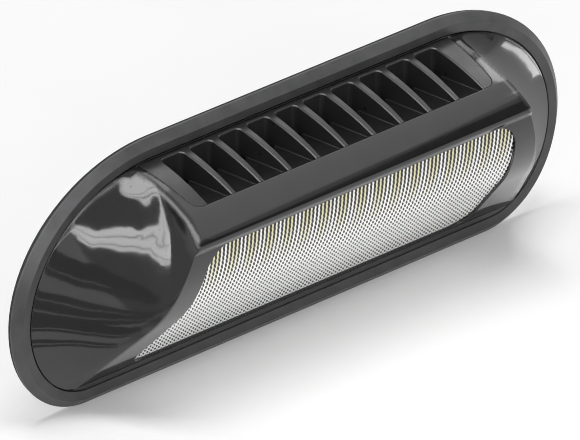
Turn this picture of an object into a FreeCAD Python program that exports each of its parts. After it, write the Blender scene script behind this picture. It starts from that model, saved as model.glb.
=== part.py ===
import FreeCAD, Part
import math
import os

from FreeCAD import Placement, Rotation, Vector

# Perimeter flood light for the side of a vehicle body, in millimetres.
# X runs along the lamp, Z is up and the wall is the plane Y = 0. The lamp stands
# out towards -Y, so "depth" below means the distance in front of the wall.

os.makedirs("parts", exist_ok=True)
doc = FreeCAD.newDocument("perimeter_flood_light")

SIZES = {
    # Rim outline: a stretched oval with large top corners and tighter bottom ones
    "rim_length": 250.0,
    "rim_rise": 52.75,
    "rim_drop": 38.1,
    "top_corner_width": 61.0,
    "bottom_corner_width": 33.25,
    # Rim section, from its outer edge inwards
    "gasket_thickness": 1.3,
    "gasket_edge_inset": 0.3,
    "rim_edge_thickness": 0.6,
    "ridge_inset": 3.0,
    "ridge_depth": 4.6,
    "land_width": 3.3,
    "land_fall": 0.4,
    "ledge_width": 2.6,
    "ledge_thickness": 1.0,
    "seam_gap": 0.45,
    # Hood section
    "hood_top_gap": 0.7,
    "grille_front_height": 38.2,
    "grille_front_depth": 30.3,
    "nose_height": 31.0,
    "nose_depth": 39.7,
    "brow_height": 28.4,
    "brow_depth": 40.0,
    "brow_return": 1.1,
    "hood_crown": 1.1,
    "nose_bulge": 0.755,
    "brow_bulge": 0.37,
    # Face that carries the lens: a slope that turns upright under the brow
    "face_foot_depth": 5.6,
    "face_foot_height": -28.6,
    "face_slope_angle": 40.8,
    "face_slope_length": 34.2,
    # Hood ends and the flare that runs out to the rim
    "hood_end_inset": 49.5,
    "hood_end_level": 30.0,
    "hood_end_spread_above": 0.22,
    "hood_end_spread_below": 0.31,
    "flare_reach": 8.5,
    "flare_sharpness": 1.3,
    "flare_least_reach": 0.45,
    "flare_foot_inset": 0.05,
    # Vent grille
    "grille_rear_depth": 3.3,
    "grille_rear_inset": 4.7,
    "grille_front_inset": 7.1,
    "grille_end_width": 4.65,
    "grille_corner_radius": 4.0,
    "grille_clearance": 0.15,
    "slot_count": 10,
    "rib_rear_width": 3.2,
    "rib_front_width": 1.9,
    "slot_rear_depth": 5.5,
    "slot_corner_radius": 1.8,
    "slot_throat_length": 4.5,
    "slot_floor_rear_height": 35.1,
    "slot_floor_bend_depth": 27.4,
    "slot_floor_bend_height": 36.3,
    "slot_floor_sag": 0.35,
    "slot_edge_bevel": 0.4,
    "rib_foot_width": 0.5,
    "rib_foot_rise": 0.35,
    "grille_underside_height": 34.7,
    # Lens and its seat
    "lens_recess": 1.0,
    "lens_thickness": 1.8,
    "lens_gasket_thickness": 0.6,
    "seat_thickness": 2.5,
    "seat_width": 2.6,
    "lens_clearance": 0.2,
    "lens_top_inset": 6.0,
    "lens_bottom_spread": 3.5,
    "lens_edge_margin": 1.2,
    "lens_top_radius": 10.0,
    "lens_bottom_radius": 8.0,
    # Inside
    "wall": 2.5,
    "cavity_end_inset": 7.5,
    "fit_clearance": 0.3,
    # Light source
    "optic_tilt": 30.0,
    "optic_depth": 18.5,
    "optic_height": 9.0,
    "board_halfwidth": 15.0,
    "board_thickness": 1.6,
    "board_end_gap": 2.0,
    "pad_thickness": 0.5,
    "led_count": 16,
    "led_end_margin": 4.125,
    "led_size": 3.5,
    "led_thickness": 1.2,
    # Reflector tray
    "tray_thickness": 1.0,
    "tray_window_halfwidth": 4.5,
    # Heat sink
    "sink_plate_thickness": 4.0,
    "sink_lip": 2.0,
    "sink_bar_thickness": 6.0,
    "sink_rear_depth": 12.0,
    "fin_count": 22,
    "fin_thickness": 2.0,
    # Rear cover
    "cover_thickness": 1.8,
    "cover_seal_thickness": 0.5,
    "cover_seal_width": 5.0,
    "standoff_radius": 3.0,
    # Driver board
    "driver_length": 96.0,
    "driver_width": 24.0,
    "driver_top_gap": 2.2,
    "driver_standoff": 2.7,
    "driver_hole_inset": 4.0,
    "capacitor_radius": 3.2,
    "capacitor_length": 5.0,
    "capacitor_count": 3,
    "capacitor_spacing": 1.0,
    "capacitor_gap": 3.0,
    "inductor_radius": 6.0,
    "inductor_thickness": 5.0,
    "inductor_gap": 6.2,
    "chip_length": 6.0,
    "chip_thickness": 1.5,
    "chip_pitch": 9.0,
    "chip_stagger": 5.0,
    "chip_gap": 1.6,
    "header_length": 12.0,
    "header_width": 6.0,
    "header_thickness": 4.8,
    # Screws and fixings
    "screw_radius": 1.5,
    "screw_head_radius": 2.75,
    "screw_head_thickness": 1.5,
    "cover_screw_length": 7.0,
    "board_screw_length": 6.0,
    "sink_screw_length": 6.5,
    "sink_screw_inset": 3.0,
    "cover_screw_upper_offset": 8.0,
    "cover_screw_upper_drop": 28.75,
    "cover_screw_outer_inset": 24.0,
    "cover_screw_lower_offset": 12.0,
    "cover_screw_lower_rise": 21.1,
    "driver_screw_length": 4.0,
    "hole_clearance": 0.2,
    "insert_offset": 18.0,
    "insert_height": 4.0,
    "insert_radius": 3.6,
    "insert_bore_radius": 2.5,
    "insert_length": 9.0,
    # Cable inlet and breather
    "inlet_radius": 6.0,
    "inlet_bore_radius": 3.0,
    "inlet_flange_radius": 8.0,
    "inlet_flange_thickness": 1.6,
    "inlet_offset": 36.0,
    "inlet_height": -2.0,
    "breather_radius": 5.0,
    "breather_flange_radius": 6.5,
    "breather_flange_thickness": 1.2,
}

# Sizes that follow from others, as formulas in the same sheet
FOLLOWING = {
    "hood_top_height": "rim_rise - ridge_inset - land_width - seam_gap - hood_top_gap",
    "hood_end_halfwidth": "rim_length / 2 - hood_end_inset",
    "grille_rear_halfwidth": "hood_end_halfwidth - grille_rear_inset",
    "grille_front_halfwidth": "hood_end_halfwidth - grille_front_inset",
    "slot_pitch": "2 * (grille_front_halfwidth - grille_end_width) / slot_count",
    "lens_top_halfwidth": "hood_end_halfwidth - lens_top_inset",
    "lens_bottom_halfwidth": "hood_end_halfwidth + lens_bottom_spread",
    "cavity_halfwidth": "hood_end_halfwidth - cavity_end_inset",
    "led_pitch": "2 * (cavity_halfwidth - board_end_gap - led_end_margin) / (led_count - 1)",
    "driver_centre_height": "grille_underside_height - wall - driver_width / 2 - driver_top_gap",
    "sink_screw_halfspacing": "cavity_halfwidth - sink_screw_inset",
    "cover_screw_upper_x": "cavity_halfwidth + cover_screw_upper_offset",
    "cover_screw_upper_height": "rim_rise - cover_screw_upper_drop",
    "cover_screw_outer_x": "rim_length / 2 - cover_screw_outer_inset",
    "cover_screw_lower_x": "cavity_halfwidth + cover_screw_lower_offset",
    "cover_screw_lower_height": "cover_screw_lower_rise - rim_drop",
    "insert_spacing": "2 * (cavity_halfwidth + insert_offset)",
}


def make_sheet():
    sheet = doc.addObject("Spreadsheet::Sheet", "Sizes")
    cells = [(name, str(value)) for name, value in SIZES.items()]
    cells += [(name, "=" + formula) for name, formula in FOLLOWING.items()]
    for row, (name, content) in enumerate(cells, start=1):
        sheet.set("A%d" % row, name)
        sheet.set("B%d" % row, content)
        sheet.setAlias("B%d" % row, name)
    doc.recompute()
    return sheet


sheet = make_sheet()


def size(name):
    return float(sheet.get(name))


# Depths and heights that follow from the sizes
ledge_front = size("gasket_thickness") + size("ledge_thickness")
flange_rear = ledge_front
flange_front = size("ridge_depth") - size("land_fall")
seam_inset = size("ridge_inset") + size("land_width")
flange_inset = seam_inset + size("seam_gap")
cover_front = flange_rear - size("cover_seal_thickness")
cover_inset = seam_inset + size("ledge_width") + size("fit_clearance")
shelf_underside = size("grille_underside_height") - size("wall")
wall_behind_lens = size("lens_recess") + size("lens_thickness") + size("lens_gasket_thickness")
cavity_offset = wall_behind_lens + size("seat_thickness")


def at(x, depth, height):
    return Vector(x, -depth, height)


def half(name):
    return size(name) / 2.0


# Rim outline


def corner_arc(side, level, width, rise, inset, depth):
    """A quarter of an ellipse from the end of the rim to its top or bottom edge."""
    arc = Part.Arc(Vector(1, 0, 0), Vector(math.sqrt(0.5), 0, math.sqrt(0.5)), Vector(0, 0, 1))
    stretch = FreeCAD.Matrix()
    stretch.scale(side * (width - inset), 1.0, level * (rise - inset))
    edge = arc.toShape().transformGeometry(stretch)
    edge.translate(at(side * (half("rim_length") - width), depth, 0))
    return edge


def rim_outline(inset, depth):
    """The rim's closed outline, drawn in from its outer edge by inset."""
    top_width = size("top_corner_width")
    bottom_width = size("bottom_corner_width")
    top = size("rim_rise") - inset
    bottom = inset - size("rim_drop")
    top_x = half("rim_length") - top_width
    bottom_x = half("rim_length") - bottom_width
    edges = [
        corner_arc(1, 1, top_width, size("rim_rise"), inset, depth),
        Part.makeLine(at(top_x, depth, top), at(-top_x, depth, top)),
        corner_arc(-1, 1, top_width, size("rim_rise"), inset, depth),
        corner_arc(-1, -1, bottom_width, size("rim_drop"), inset, depth),
        Part.makeLine(at(-bottom_x, depth, bottom), at(bottom_x, depth, bottom)),
        corner_arc(1, -1, bottom_width, size("rim_drop"), inset, depth),
    ]
    return Part.Wire(Part.__sortEdges__(edges))


def rim_slab(inset, rear, front):
    return Part.Face(rim_outline(inset, rear)).extrude(Vector(0, rear - front, 0))


def rim_taper(rear_inset, rear, front_inset, front):
    return Part.makeLoft([rim_outline(rear_inset, rear), rim_outline(front_inset, front)], True, True)


# Sections across the lamp, in the plane of depth and height


def depth_height(x, points):
    return [at(x, depth, height) for depth, height in points]


def arc_between(first, last, bulge):
    """An arc from first to last that stands out from their chord by bulge."""
    middle = (first + last) * 0.5
    chord = last - first
    out = Vector(0, -chord.z, chord.y).normalize()
    return Part.Arc(first, middle + out * bulge, last).toShape()


def face_slope():
    angle = math.radians(size("face_slope_angle"))
    return math.sin(angle), math.cos(angle)


def face_radius():
    """Radius that brings the sloping face upright under the brow."""
    run_out, rise = face_slope()
    slope_end = size("face_foot_depth") + size("face_slope_length") * run_out
    return (size("brow_depth") - size("brow_return") - slope_end) / (1.0 - rise)


def face_points(offset):
    """Foot, end of slope, middle and top of the lens face, moved inwards by offset."""
    run_out, rise = face_slope()
    length = size("face_slope_length")
    foot = (size("face_foot_depth") - offset * rise, size("face_foot_height") + offset * run_out)
    bend = (foot[0] + length * run_out, foot[1] + length * rise)
    radius = face_radius() - offset
    centre = (bend[0] - radius * rise, bend[1] + radius * run_out)
    middle_angle = math.radians(size("face_slope_angle")) / 2.0
    middle = (centre[0] + radius * math.cos(middle_angle), centre[1] - radius * math.sin(middle_angle))
    top = (centre[0] + radius, centre[1])
    return foot, bend, middle, top


def face_edges(x, offset):
    foot, bend, middle, top = depth_height(x, face_points(offset))
    return [Part.makeLine(foot, bend), Part.Arc(bend, middle, top).toShape()]


def prism(edges, halfwidth):
    """A section drawn at x = -halfwidth, extruded to both sides of the middle."""
    section = Part.Face(Part.Wire(edges))
    return section.extrude(Vector(2.0 * halfwidth, 0, 0))


def polygon_edges(points):
    return [Part.makeLine(points[i], points[i + 1]) for i in range(len(points) - 1)]


def roof_edges(x):
    """The hood's outline from the lens up: brow, nose and top."""
    brow = at(x, size("brow_depth"), size("brow_height"))
    nose = at(x, size("nose_depth"), size("nose_height"))
    grille_front = at(x, size("grille_front_depth"), size("grille_front_height"))
    top_rear = at(x, flange_rear, size("hood_top_height"))
    return [
        arc_between(brow, nose, size("brow_bulge")),
        arc_between(nose, grille_front, size("nose_bulge")),
        arc_between(grille_front, top_rear, size("hood_crown")),
    ]


def hood_prism(halfwidth):
    """Top, nose, brow and lens face of the hood in one section."""
    x = -halfwidth
    face_end = at(x, *face_points(0.0)[3])
    foot_point = at(x, size("face_foot_depth"), size("face_foot_height"))
    sill = at(x, flange_rear, flange_inset - size("rim_drop"))
    roof = roof_edges(x)
    edges = [Part.makeLine(sill, foot_point)]
    edges += face_edges(x, 0.0)
    edges.append(Part.makeLine(face_end, at(x, size("brow_depth"), size("brow_height"))))
    edges += roof
    edges.append(Part.makeLine(at(x, flange_rear, size("hood_top_height")), sill))
    return prism(edges, halfwidth)


def flare_share(depth, corner):
    """How much of the way to the rim the hood's end still reaches at a depth."""
    reach = size("flare_reach") * max(math.cos(corner), 0.0) ** size("flare_sharpness")
    reach += size("flare_least_reach")
    return math.exp(-(depth - flange_front) / reach)


def end_point(corner, side, depth):
    """A point of the hood's end at a depth; corner runs from -90 to 90 degrees."""
    inset = flange_inset + size("flare_foot_inset")
    if corner >= 0:
        width = size("top_corner_width")
        rise = size("rim_rise") - inset
    else:
        width = size("bottom_corner_width")
        rise = size("rim_drop") - inset
    height = rise * math.sin(corner)
    rim_x = half("rim_length") - width + (width - inset) * math.cos(corner)
    above = height - size("hood_end_level")
    spread = size("hood_end_spread_above") if above > 0 else size("hood_end_spread_below")
    hood_x = size("hood_end_halfwidth") - spread * above
    share = flare_share(depth, corner)
    return at(side * (hood_x + (rim_x - hood_x) * share), depth, height)


def end_curve(side, depth):
    steps = 12
    corners = [math.radians(90.0 * (2.0 * i / steps - 1.0)) for i in range(steps + 1)]
    curve = Part.BSplineCurve()
    curve.interpolate([end_point(corner, side, depth) for corner in corners])
    return curve.toShape()


def end_section(depth):
    right = end_curve(1, depth)
    left = end_curve(-1, depth)
    right_foot, right_top = right.Vertexes[0].Point, right.Vertexes[-1].Point
    left_foot, left_top = left.Vertexes[0].Point, left.Vertexes[-1].Point
    edges = [right, Part.makeLine(right_top, left_top), left, Part.makeLine(left_foot, right_foot)]
    return Part.Wire(Part.__sortEdges__(edges))


def flared_ends():
    """The space between the two concave ends of the hood."""
    front = size("brow_depth") + size("wall")
    reach = size("flare_reach")
    steps = (0.0, 0.12, 0.3, 0.55, 0.9, 1.4, 2.1, 3.0)
    depths = [flange_front + reach * step for step in steps] + [front]
    return Part.makeLoft([end_section(depth) for depth in depths], True, False)


def hood_outside():
    """Everything of the housing's outer form: its flange and the hood on it."""
    flange = rim_slab(flange_inset, flange_rear, flange_front)
    hood = hood_prism(half("rim_length")).common(flared_ends())
    return flange.fuse(hood)


# Vent grille


def grille_plan(inset, rear, low, high):
    """The grille's outline seen from above, as a block between two heights."""
    front = size("grille_front_depth") - inset
    rear_x = size("grille_rear_halfwidth") - inset
    front_x = size("grille_front_halfwidth") - inset
    corners = [at(-rear_x, rear, low), at(-front_x, front, low), at(front_x, front, low), at(rear_x, rear, low)]
    block = Part.Face(Part.Wire(polygon_edges(corners + corners[:1]))).extrude(Vector(0, 0, high - low))
    uprights = [
        edge for edge in block.Edges
        if abs(edge.tangentAt(edge.FirstParameter).z) > 0.9 and abs(edge.CenterOfMass.y + front) < 0.1
    ]
    return block.makeFillet(size("grille_corner_radius") - inset, uprights)


def slot_edges_x(index):
    """Rear and front x of both sides of a slot, left to right."""
    first = -half("slot_count") * size("slot_pitch")
    left = first + index * size("slot_pitch")
    right = left + size("slot_pitch")
    rear, front = half("rib_rear_width"), half("rib_front_width")
    return left + rear, left + front, right - rear, right - front


def slot_block(index, widen, low, high):
    """A slot seen from above, as a block with rounded rear corners."""
    rear_left, front_left, rear_right, front_right = slot_edges_x(index)
    rear = size("slot_rear_depth") - widen
    front = size("grille_front_depth") + size("wall")
    corners = [
        at(rear_left - widen, rear, low),
        at(front_left - widen, front, low),
        at(front_right + widen, front, low),
        at(rear_right + widen, rear, low),
    ]
    block = Part.Face(Part.Wire(polygon_edges(corners + corners[:1]))).extrude(Vector(0, 0, high - low))
    uprights = [
        edge for edge in block.Edges
        if abs(edge.tangentAt(edge.FirstParameter).z) > 0.9 and abs(edge.CenterOfMass.y + rear) < 0.1
    ]
    return block.makeFillet(size("slot_corner_radius") + widen, uprights)


def slot_floor(lift):
    """Everything under the slot floor, which sweeps up to the nose at its front."""
    x = -size("grille_rear_halfwidth")
    rear = size("slot_rear_depth") + size("slot_throat_length")
    front = size("grille_front_depth")
    past = size("wall")
    low = size("grille_underside_height") - half("wall")
    sweep = size("slot_floor_sag")
    rear_floor, bend, top, over = depth_height(x, [
        (rear, size("slot_floor_rear_height") + lift),
        (size("slot_floor_bend_depth"), size("slot_floor_bend_height") + lift),
        (front, size("grille_front_height") + lift),
        (front + past, size("grille_front_height") + 1.5 * past + lift),
    ])
    floor = [Part.makeLine(rear_floor, bend), arc_between(bend, top, sweep), Part.makeLine(top, over)]
    below = [over, at(x, front + past, low), at(x, rear, low), rear_floor]
    return prism(floor + polygon_edges(below), -x)


def slot_indexes():
    return range(int(size("slot_count")))


def make_vent_grille():
    """A comb: rear rail, two solid ends and the ribs between the slots."""
    low = size("grille_underside_height")
    high = size("hood_top_height") + size("wall")
    outline = hood_prism(half("rim_length"))
    grille = grille_plan(size("grille_clearance"), size("grille_rear_depth"), low, high).common(outline)
    step = slot_floor(size("rib_foot_rise"))
    foot = size("rib_foot_width")
    grille = grille.cut([slot_block(index, 0.0, low - 1.0, high).cut(step) for index in slot_indexes()])
    edges = slot_top_edges(grille)
    grille = grille.makeChamfer(size("slot_edge_bevel"), edges)
    return grille.cut([slot_block(index, -foot, low - 1.0, high) for index in slot_indexes()])


def slot_top_edges(grille):
    """The edges round each slot where its walls meet the grille's upper face."""
    first = slot_edges_x(0)[0]
    past = -first + 0.1
    over_floor = (size("hood_top_height") + size("grille_front_height")) / 2.0
    tops = [face for face in grille.Faces if face.normalAt(0, 0).z > 0.5 and face.BoundBox.ZMax > over_floor]
    edges = []
    for face in tops:
        for edge in face.Edges:
            middle = edge.CenterOfMass
            inside = abs(middle.x) < past and -middle.y > size("slot_rear_depth") - 0.1
            if inside and -middle.y < size("grille_front_depth") - 0.5:
                edges.append(edge)
    return edges


def grille_pocket():
    """The room for the grille, with a step into the flange behind its rear rail."""
    low = size("grille_underside_height")
    high = size("hood_top_height")
    upper = grille_plan(0.0, flange_front, low, high + size("wall"))
    return upper.fuse(grille_plan(0.0, size("grille_rear_depth"), low, high))


def slot_ramps():
    """The housing's own floor inside the slots, a little clear of the ribs."""
    low = size("grille_underside_height") - half("wall")
    high = size("hood_top_height")
    clear = -size("rib_foot_width") - size("grille_clearance")
    under = slot_floor(0.0).common(hood_prism(half("rim_length")))
    return [slot_block(index, clear, low, high).common(under) for index in slot_indexes()]


# Lens


def lens_plan(inset):
    """The lens outline as a long block along the direction that the lens faces."""
    foot, bend, middle, top = face_points(0.0)
    tilt = size("optic_tilt")
    margin = size("lens_edge_margin") + inset
    turn = Rotation(Vector(1, 0, 0), tilt)
    upward = turn.multVec(Vector(0, 0, 1))
    reach = size("brow_depth")
    low = at(0, *foot).dot(upward) + margin
    high = at(0, *top).dot(upward) + size("brow_return") - margin
    bottom_x = size("lens_bottom_halfwidth") - inset
    top_x = size("lens_top_halfwidth") - inset
    corners = [
        Vector(-bottom_x, 0, low), Vector(bottom_x, 0, low), Vector(top_x, 0, high), Vector(-top_x, 0, high),
    ]
    block = Part.Face(Part.Wire(polygon_edges(corners + corners[:1]))).extrude(Vector(0, -2.0 * reach, 0))
    for level, radius in ((low, "lens_bottom_radius"), (high, "lens_top_radius")):
        edges = [
            edge for edge in block.Edges
            if abs(edge.tangentAt(edge.FirstParameter).y) > 0.9 and abs(edge.CenterOfMass.z - level) < 0.1
        ]
        block = block.makeFillet(size(radius) - inset, edges)
    block.Placement = Placement(Vector(0, 0, 0), turn)
    return block


def face_layer(outer_offset, inner_offset, halfwidth):
    """The layer between two offsets of the lens face."""
    x = -halfwidth
    outer = face_edges(x, outer_offset)
    inner = face_edges(x, inner_offset)
    rise = size("brow_height") - face_points(0.0)[3][1]
    outer_top = outer[1].Vertexes[-1].Point
    inner_top = inner[1].Vertexes[-1].Point
    lift = Vector(0, 0, rise)
    edges = outer + [
        Part.makeLine(outer_top, outer_top + lift),
        Part.makeLine(outer_top + lift, inner_top + lift),
        Part.makeLine(inner_top + lift, inner_top),
    ]
    edges += [inner[1], inner[0], Part.makeLine(inner[0].Vertexes[0].Point, outer[0].Vertexes[0].Point)]
    return prism(Part.__sortEdges__(edges), halfwidth)


def make_lens():
    recess = size("lens_recess")
    layer = face_layer(recess, recess + size("lens_thickness"), size("lens_bottom_halfwidth"))
    return layer.common(lens_plan(size("lens_clearance")))


def make_lens_gasket():
    front = size("lens_recess") + size("lens_thickness")
    layer = face_layer(front, wall_behind_lens, size("lens_bottom_halfwidth"))
    ring = lens_plan(size("lens_clearance")).cut(lens_plan(size("seat_width")))
    return layer.common(ring)


# Housing


def cavity():
    """The room for the light source and the driver, open to the rear."""
    x = -size("cavity_halfwidth")
    foot, bend, middle, top = face_points(cavity_offset)
    run_out, rise = face_slope()
    back = (foot[0] - flange_rear) / run_out
    low = (flange_rear, foot[1] - back * rise)
    ceiling = shelf_underside
    low_v, bend_v, middle_v, top_v = depth_height(x, [low, bend, middle, top])
    edges = [
        Part.makeLine(low_v, bend_v),
        Part.Arc(bend_v, middle_v, top_v).toShape(),
        Part.makeLine(top_v, at(x, top[0], ceiling)),
        Part.makeLine(at(x, top[0], ceiling), at(x, flange_rear, ceiling)),
        Part.makeLine(at(x, flange_rear, ceiling), low_v),
    ]
    return prism(edges, size("cavity_halfwidth"))


def air_throat():
    """The long opening under the rear of the slots, into the heat sink's room."""
    halfwidth = half("slot_count") * size("slot_pitch") - size("rib_rear_width")
    length = size("slot_throat_length")
    rear = size("slot_rear_depth")
    return Part.makeBox(
        2.0 * halfwidth, length, 2.0 * size("wall"),
        at(-halfwidth, rear + length, shelf_underside - size("wall") / 2.0),
    )


def bore(x, height, radius, rear, front):
    return Part.makeCylinder(radius, front - rear, at(x, rear, height), Vector(0, -1, 0))


def cover_screw_places():
    """Six screws round the rear cover, all in the solid ends of the housing."""
    upper = (size("cover_screw_upper_x"), size("cover_screw_upper_height"))
    outer = (size("cover_screw_outer_x"), 0.0)
    lower = (size("cover_screw_lower_x"), size("cover_screw_lower_height"))
    return [(side * x, height) for x, height in (upper, outer, lower) for side in (-1, 1)]


def insert_places():
    return [(side * half("insert_spacing"), size("insert_height")) for side in (-1, 1)]


def sink_screw_places():
    """Screws under the grille's ends, down into the heat sink's bar, as (x, depth)."""
    depth = sink_bar_rear() + half("sink_bar_thickness")
    return [(side * size("sink_screw_halfspacing"), depth) for side in (-1, 1)]


def make_housing_shell():
    body = hood_outside()
    low = size("grille_underside_height")
    cuts = [grille_pocket(), cavity(), air_throat()]
    outside = -size("brow_return")
    rabbet = face_layer(outside, wall_behind_lens, size("rim_length") / 2.0)
    cuts.append(rabbet.common(lens_plan(0.0)))
    window = face_layer(outside, cavity_offset + size("wall"), size("rim_length") / 2.0)
    cuts.append(window.common(lens_plan(size("seat_width"))))
    for x, height in cover_screw_places():
        cuts.append(bore(x, height, size("screw_radius"), flange_rear, size("cover_screw_length")))
    for x, height in insert_places():
        end = flange_rear + size("insert_length")
        cuts.append(bore(x, height, size("insert_radius"), flange_rear, end))
    for x, depth in sink_screw_places():
        hole = size("screw_radius") + size("hole_clearance")
        head = size("screw_head_radius") + size("hole_clearance")
        seat = low - size("screw_head_thickness")
        cuts.append(Part.makeCylinder(hole, 2.0 * size("wall"), at(x, depth, seat - 2.0 * size("wall"))))
        cuts.append(Part.makeCylinder(head, size("wall"), at(x, depth, seat)))
    return body.cut(cuts).fuse(slot_ramps())


# Rim pieces


def make_bezel_ring():
    """Matte ring: upright edge, wide slope to a ridge, narrow land down to the seam."""
    rear = size("gasket_thickness")
    edge = rear + size("rim_edge_thickness")
    ridge = size("ridge_depth")
    blank = rim_slab(0.0, rear, edge).fuse(rim_taper(0.0, edge, size("ridge_inset"), ridge))
    land = rim_taper(seam_inset, flange_front, size("ridge_inset"), ridge)
    well = rim_slab(seam_inset, ledge_front, ridge + 1.0)
    hole = rim_slab(seam_inset + size("ledge_width"), rear - 1.0, ridge)
    return blank.cut([land, well, hole])


def make_mounting_gasket():
    front = size("gasket_thickness")
    blank = rim_slab(size("gasket_edge_inset"), 0.0, front)
    return blank.cut(rim_slab(cover_inset - size("fit_clearance"), -1.0, front + 1.0))


# Rear cover


def inlet_places():
    offset = size("inlet_offset")
    return (offset, size("inlet_height")), (-offset, size("inlet_height"))


def countersink(x, height):
    radius = size("screw_radius") + size("hole_clearance")
    head = size("screw_head_radius") + size("hole_clearance")
    thickness = size("screw_head_thickness")
    cone = Part.makeCone(head, radius, thickness, at(x, 0, height), Vector(0, -1, 0))
    return cone.fuse(bore(x, height, radius, 0.0, cover_front + 1.0))


def driver_hole_places():
    x = half("driver_length") - size("driver_hole_inset")
    rise = half("driver_width") - size("driver_hole_inset")
    middle = size("driver_centre_height")
    return [(side * x, middle + level * rise) for side in (-1, 1) for level in (-1, 1)]


def make_rear_cover():
    plate = rim_slab(cover_inset, 0.0, cover_front)
    board_rear = cover_front + size("driver_standoff")
    posts = [bore(x, height, size("standoff_radius"), 0.0, board_rear) for x, height in driver_hole_places()]
    plate = plate.fuse(posts)
    cable, breather = inlet_places()
    cuts = [countersink(x, height) for x, height in cover_screw_places()]
    cuts += [
        bore(x, height, size("screw_radius"), cover_front, board_rear + 1.0) for x, height in driver_hole_places()
    ]
    cuts += [bore(x, height, size("insert_radius"), -1.0, cover_front + 1.0) for x, height in insert_places()]
    cuts.append(bore(*cable, size("inlet_radius"), -1.0, cover_front + 1.0))
    cuts.append(bore(*breather, size("breather_radius"), -1.0, cover_front + 1.0))
    return plate.cut(cuts)


def make_rear_cover_seal():
    ring = rim_slab(cover_inset, cover_front, flange_rear)
    room = cavity_mouth(size("cavity_halfwidth") + size("fit_clearance"))
    cuts = [room]
    for x, height in cover_screw_places():
        cuts.append(bore(x, height, size("screw_radius") + size("hole_clearance"), 0.0, flange_rear + 1.0))
    for x, height in insert_places():
        cuts.append(bore(x, height, size("insert_radius"), 0.0, flange_rear + 1.0))
    return ring.cut(cuts)


def cavity_mouth(halfwidth):
    """The cavity's opening at the rear of the housing, as a thin block."""
    foot = face_points(cavity_offset)[0]
    run_out, rise = face_slope()
    low = foot[1] - (foot[0] - flange_rear) / run_out * rise
    return Part.makeBox(
        2.0 * halfwidth, 2.0 * flange_rear, shelf_underside - low,
        at(-halfwidth, 2.0 * flange_rear, low),
    )


# Light source, drawn upright in its own frame and tilted by its Placement


def optic_placement():
    place = at(0, size("optic_depth"), size("optic_height"))
    return Placement(place, Rotation(Vector(1, 0, 0), size("optic_tilt")))


def source_halflength():
    return size("cavity_halfwidth") - size("board_end_gap")


def led_span():
    return (size("led_count") - 1) * size("led_pitch")


def make_led_chips():
    chips = []
    span = led_span()
    side = size("led_size")
    for index in range(int(size("led_count"))):
        x = index * size("led_pitch") - span / 2.0
        corner = Vector(x - side / 2.0, -size("led_thickness"), -side / 2.0)
        chips.append(Part.makeBox(side, size("led_thickness"), side, corner))
    return Part.makeCompound(chips)


def board_screw_places():
    x = source_halflength() - size("screw_head_radius") - 1.0
    rise = size("board_halfwidth") - size("screw_head_radius") - 1.0
    return [(side * x, level * rise) for side in (-1, 1) for level in (-1, 1)]


def pan_screw(length):
    """A pan-head screw along +Y, its head's underside at the origin."""
    head = Part.makeCylinder(
        size("screw_head_radius"), size("screw_head_thickness"),
        Vector(0, -size("screw_head_thickness"), 0), Vector(0, 1, 0),
    )
    rim = [edge for edge in head.Edges if abs(edge.CenterOfMass.y + size("screw_head_thickness")) < 0.01]
    head = head.makeFillet(size("screw_head_thickness") / 2.0, rim[:1])
    shank = Part.makeCylinder(size("screw_radius"), length, Vector(0, 0, 0), Vector(0, 1, 0))
    drive = Part.makeBox(
        2.0 * size("screw_radius"), size("screw_head_thickness"), size("screw_head_thickness") / 2.0,
        Vector(-size("screw_radius"), -1.5 * size("screw_head_thickness"), -size("screw_head_thickness") / 4.0),
    )
    return head.fuse(shank).cut(drive)


def flat_screw(length):
    """A countersunk screw along -Y from the wall plane."""
    head = Part.makeCone(
        size("screw_head_radius"), size("screw_radius"), size("screw_head_thickness"),
        Vector(0, 0, 0), Vector(0, -1, 0),
    )
    shank = Part.makeCylinder(size("screw_radius"), length, Vector(0, 0, 0), Vector(0, -1, 0))
    drive = Part.makeBox(
        2.0 * size("screw_radius"), size("screw_head_thickness"), size("screw_head_thickness") / 2.0,
        Vector(-size("screw_radius"), -size("screw_head_thickness") / 2.0, -size("screw_head_thickness") / 4.0),
    )
    return head.fuse(shank).cut(drive)


def copies(shape, places):
    """The shape at each (x, height) place, as separate solids."""
    made = []
    for x, height in places:
        copy = shape.copy()
        copy.translate(Vector(x, 0, height))
        made.append(copy)
    return Part.makeCompound(made)


def make_led_board_screws():
    return copies(pan_screw(size("board_screw_length")), board_screw_places())


def make_sink_screws():
    made = []
    for x, depth in sink_screw_places():
        screw = pan_screw(size("sink_screw_length"))
        seat = size("grille_underside_height") - size("screw_head_thickness")
        screw.Placement = Placement(at(x, depth, seat), Rotation(Vector(1, 0, 0), -90))
        made.append(screw)
    return Part.makeCompound(made)


# Heat sink


def tilted(y, z):
    """Depth and height of a point given in the light source's own frame."""
    point = optic_placement().multVec(Vector(0, y, z))
    return -point.y, point.z


def sink_front():
    return size("board_thickness") + size("pad_thickness")


def sink_bar_rear():
    reach = size("board_halfwidth") + size("sink_lip")
    return tilted(sink_front(), reach)[0] - size("sink_bar_thickness")


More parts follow.
